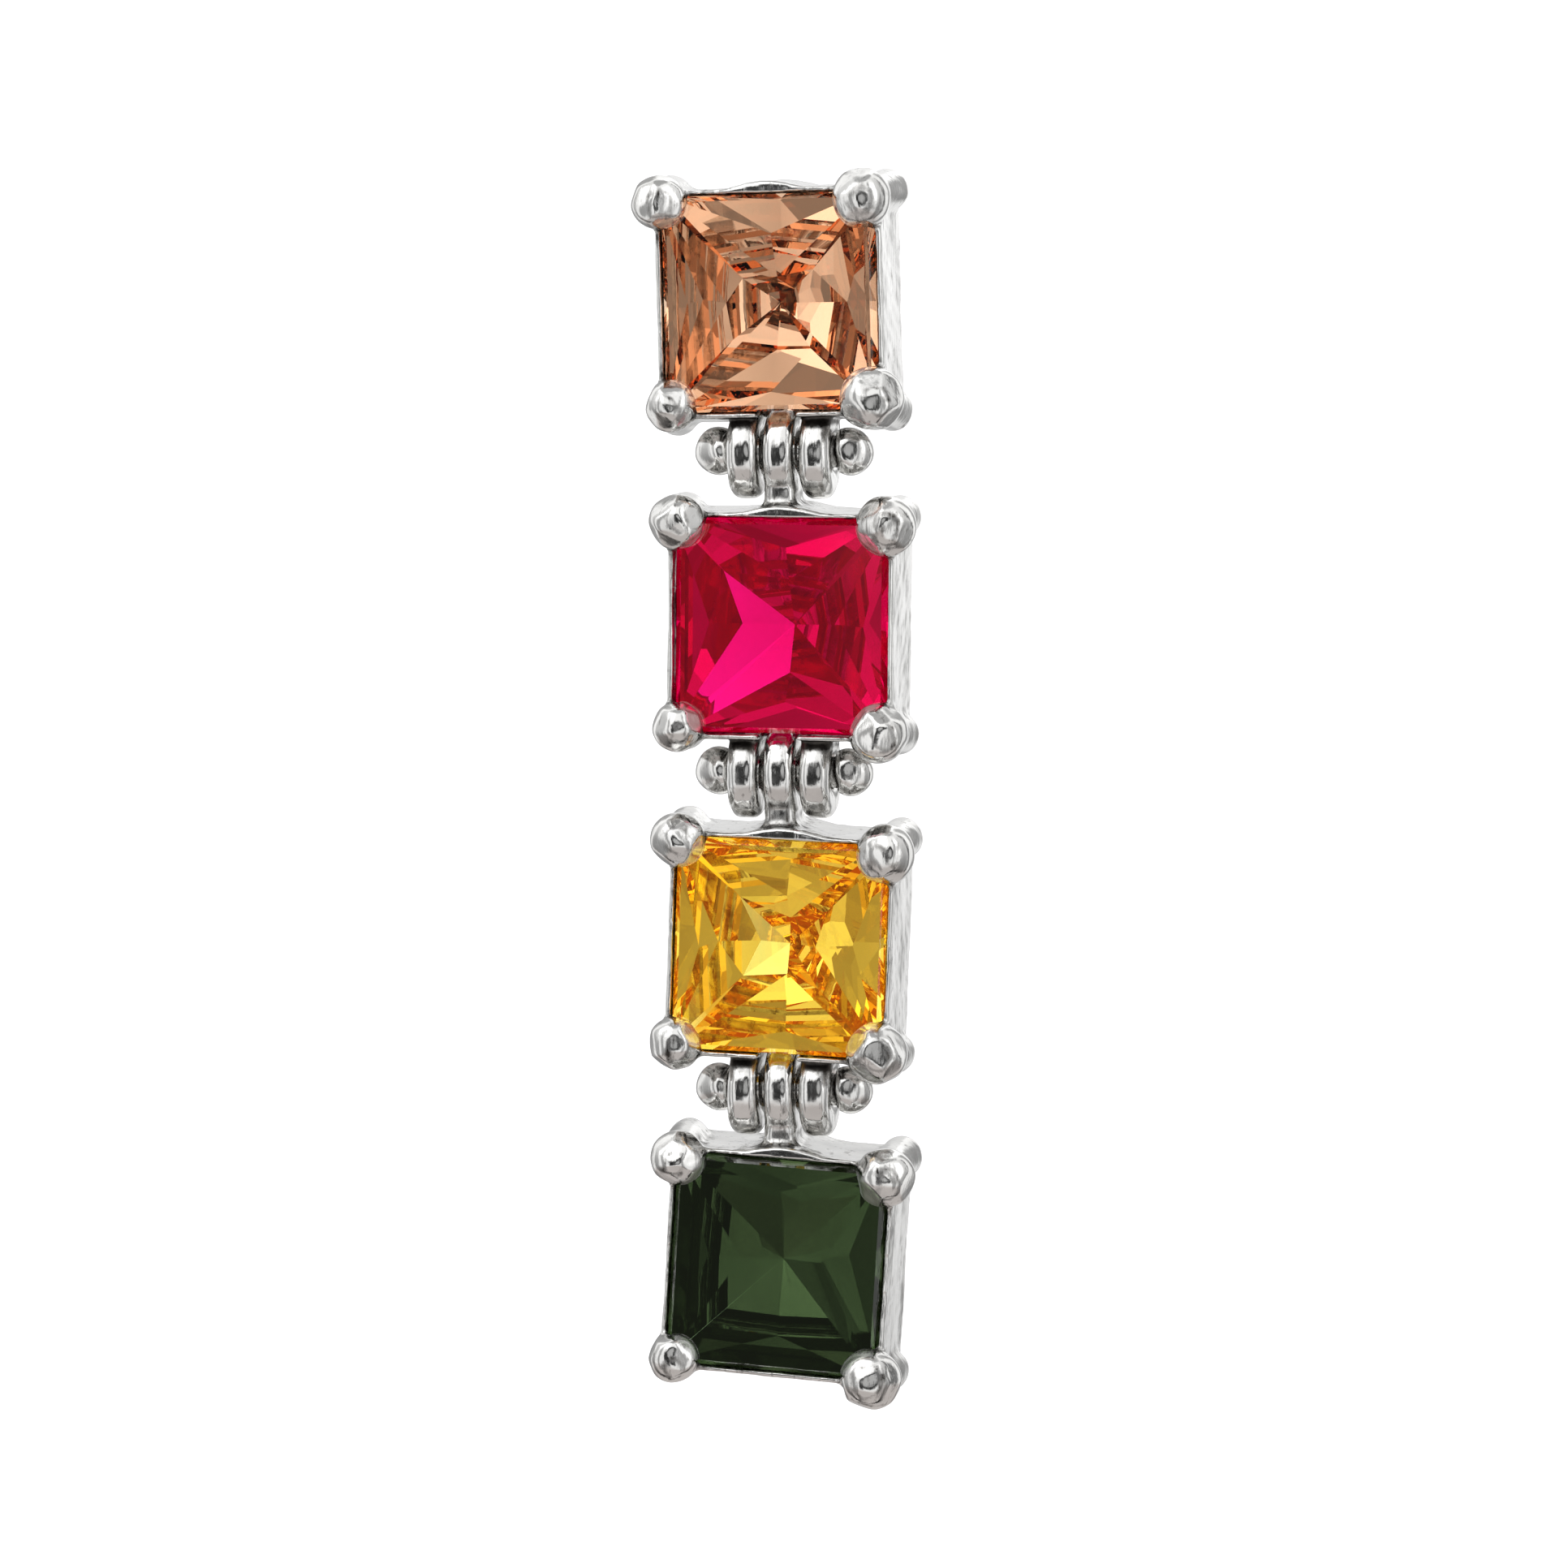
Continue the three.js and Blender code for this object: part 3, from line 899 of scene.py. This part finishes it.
def softly(value, low, high, edge):
    """1 where value lies between low and high, in degrees, and 0 away from there, with soft edges."""
    up = min(max((value - low) / edge + 0.5, 0.0), 1.0)
    down = min(max((high - value) / edge + 0.5, 0.0), 1.0)
    return up * down


def softboxes(azimuth, elevation):
    """The extra light of a large softbox high on the left and a smaller one on the right."""
    left = 0.9 * softly(azimuth, -75, -10, 10) * softly(elevation, 28, 75, 10)
    return left + 0.4 * softly(azimuth, 52, 76, 6) * softly(elevation, -5, 50, 10)


def stone_light(azimuth, elevation):
    """The light that the stones let through from one direction. Azimuth 0 is the front, and it grows to the
    right. Dark patches on the left, below and in front give the facets their contrast."""
    grey = 1.05 + 0.2 * softly(elevation, 10, FAR, 50) + softboxes(azimuth, elevation)
    low = softly(-elevation, 30, FAR, 12)
    grey = grey * (1 - low) + 0.75 * low
    grey *= 1 + 0.1 * softly(abs(azimuth), 110, FAR, 10)
    grey *= 1 + 0.3 * softly(abs(azimuth), 157, FAR, 5) * softly(abs(elevation), 24, 70, 8)
    left = softly(azimuth, -38, -8, 6) * softly(elevation, -12, 22, 6)
    below = softly(azimuth, -8, 30, 6) * softly(elevation, -40, -12, 6)
    grey *= 1 - 0.7 * max(left, below)
    front = softly(azimuth, -4, 22, 3) * softly(elevation, -9, 20, 4)
    grey = grey * (1 - front) + 0.4 * front
    warm = 0.1 * low
    return grey, grey * (1 - 0.7 * warm), grey * (1 - warm)


def silver_light(azimuth, elevation):
    """The light that the silver and the stones' faces mirror from one direction. Dark upright bands give the
    silver its contrast, and the patch round the camera stays dark so that the stones' tables don't shine."""
    grey = 1.05 + 0.2 * softly(elevation, 10, FAR, 50) + softboxes(azimuth, elevation)
    behind = softly(abs(azimuth), 150, FAR, 20)
    wall = 0.7 + 0.012 * elevation + 0.35 * softly(azimuth, 158, 178, 4)
    grey = grey * (1 - behind) + wall * behind
    low = softly(-elevation, 34, FAR, 12)
    grey = grey * (1 - low) + 0.6 * low
    side = softly(abs(azimuth), 76, 104, 8)
    grey = grey * (1 - side) + (0.55 + 0.008 * elevation) * side
    bands = 0.6 * softly(azimuth, 38, 50, 4)
    bands += 0.85 * softly(azimuth, 106, 116, 3)
    bands += 0.6 * softly(azimuth, 142, 160, 8)
    bands += 0.6 * softly(azimuth, -58, -40, 4)
    bands += 0.6 * softly(azimuth, -160, -128, 10)
    grey *= 1 - bands * softly(elevation, -45, 55, 12)
    overhead = softly(elevation, 68, FAR, 8)
    grey = grey * (1 - overhead) + 0.5 * overhead
    away = math.hypot(azimuth - 10, elevation - 5)
    middle = 1 - softly(away, 15, FAR, 4)
    strip = softly(azimuth, -19, -3, 2) * softly(elevation, -29, 17, 4)
    dark = max(1 - softly(away, 26, FAR, 4), strip)
    grey = grey * (1 - dark) + (0.035 + 0.5 * middle) * dark
    return grey, grey * (1 - 0.07 * low), grey * (1 - 0.1 * low)


def light_tent(name, light, radius):
    """A tent round the object, not seen by the camera, that glows with the given light. It is a ball with a
    flatter lower half."""
    sides, rows = 120, 60
    points, colours = [], []
    for row in range(rows + 1):
        elevation = -90 + 180 * row / rows
        for k in range(sides):
            azimuth = -180 + 360 * k / sides
            e, a = math.radians(elevation), math.radians(azimuth)
            away = np.array([math.sin(a) * math.cos(e), -math.cos(a) * math.cos(e), math.sin(e)])
            reach = radius
            if elevation < 0:
                reach = 1 / math.hypot(math.cos(e) / radius, math.sin(e) / TENT_DEPTH)
            points.append(np.array(MIDDLE) + away * reach)
            colours.append((*light(azimuth, elevation), 1.0))
    piece = mesh_object(name, np.array(points) * MM, bands_of_quads(rows, sides), tent_material(name))
    layer = piece.data.attributes.new("tent_colour", "FLOAT_COLOR", "POINT")
    layer.data.foreach_set("color", np.array(colours, np.float32).ravel())
    piece.visible_camera = False
    piece.visible_shadow = False
    piece.visible_diffuse = False
    return piece


def tent_material(name):
    """A glow in the colour stored at each point of a tent."""
    material = bpy.data.materials.new(name)
    material.use_nodes = True
    tree = material.node_tree
    tree.nodes.clear()
    output = tree.nodes.new("ShaderNodeOutputMaterial")
    glow = tree.nodes.new("ShaderNodeEmission")
    colour = tree.nodes.new("ShaderNodeAttribute")
    colour.attribute_name = "tent_colour"
    tree.links.new(colour.outputs["Color"], glow.inputs["Color"])
    tree.links.new(glow.outputs["Emission"], output.inputs["Surface"])
    material.cycles.emission_sampling = "NONE"
    return material


def plain_material(name, colour, glow):
    """A matt material with a faint glow, for the floor."""
    material, tree, shader, _ = new_material(name)
    shader.inputs["Roughness"].default_value = 0.9
    tone = ramp(tree, noise(tree, 40), [(0.0, colour), (1.0, tuple(0.99 * c for c in colour))])
    tree.links.new(tone, shader.inputs["Base Color"])
    shader.inputs["Emission Color"].default_value = (*colour, 1.0)
    shader.inputs["Emission Strength"].default_value = glow
    return material


def sweep():
    """The pale floor, a wide disc that curves up into a wall all round."""
    rows = [(0.0, FLOOR_Z), (FLOOR_RADIUS, FLOOR_Z)]
    for step in range(1, 13):
        angle = math.pi / 2 * step / 12
        radius = FLOOR_RADIUS + CURVE_RADIUS * math.sin(angle)
        rows.append((radius, FLOOR_Z + CURVE_RADIUS * (1 - math.cos(angle))))
    rows.append((FLOOR_RADIUS + CURVE_RADIUS, WALL_TOP))
    sides = 96
    points = []
    for radius, z in rows:
        for k in range(sides):
            angle = 2 * math.pi * k / sides
            points.append((radius * math.cos(angle), radius * math.sin(angle), z))
    faces = bands_of_quads(len(rows) - 1, sides)
    material = plain_material("pale_floor", (0.9, 0.9, 0.9), 0.35)
    mesh_object("floor", np.array(points) * MM, faces, material)


def build_stage():
    """The floor, the light of the room, one softbox and the two tents."""
    sweep()
    world = bpy.data.worlds.new("studio")
    bpy.context.scene.world = world
    world.use_nodes = True
    world.node_tree.nodes["Background"].inputs["Color"].default_value = (1, 1, 1, 1)
    world.node_tree.nodes["Background"].inputs["Strength"].default_value = 0.7
    light_panel("key", (-50, -50, 75), MIDDLE, 50, 50, 2.0)
    light_tent("tent_for_silver", silver_light, TENT_RADIUS).visible_transmission = False
    light_tent("tent_for_stones", stone_light, TENT_RADIUS + 2).visible_glossy = False


def build_camera():
    """A camera a little to the right of the earring and above its middle, 150 mm away."""
    data = bpy.data.cameras.new("camera")
    data.sensor_width = 36
    data.lens = 122.5
    data.clip_start = 1 * MM
    camera = bpy.data.objects.new("camera", data)
    place, aim = Vector(CAMERA_PLACE), Vector(MIDDLE)
    camera.location = place * MM
    camera.rotation_euler = (aim - place).to_track_quat("-Z", "Y").to_euler()
    bpy.context.scene.collection.objects.link(camera)
    bpy.context.scene.camera = camera


def set_paths():
    """Enough bounces for light that goes round inside a stone, and plain colours."""
    scene = bpy.context.scene
    scene.view_settings.view_transform = "Standard"
    cycles = scene.cycles
    cycles.max_bounces = 24
    cycles.glossy_bounces = 16
    cycles.transmission_bounces = 20
    cycles.diffuse_bounces = 3
    cycles.caustics_reflective = False
    cycles.caustics_refractive = False


build_earring()
build_stage()
build_camera()
set_paths()
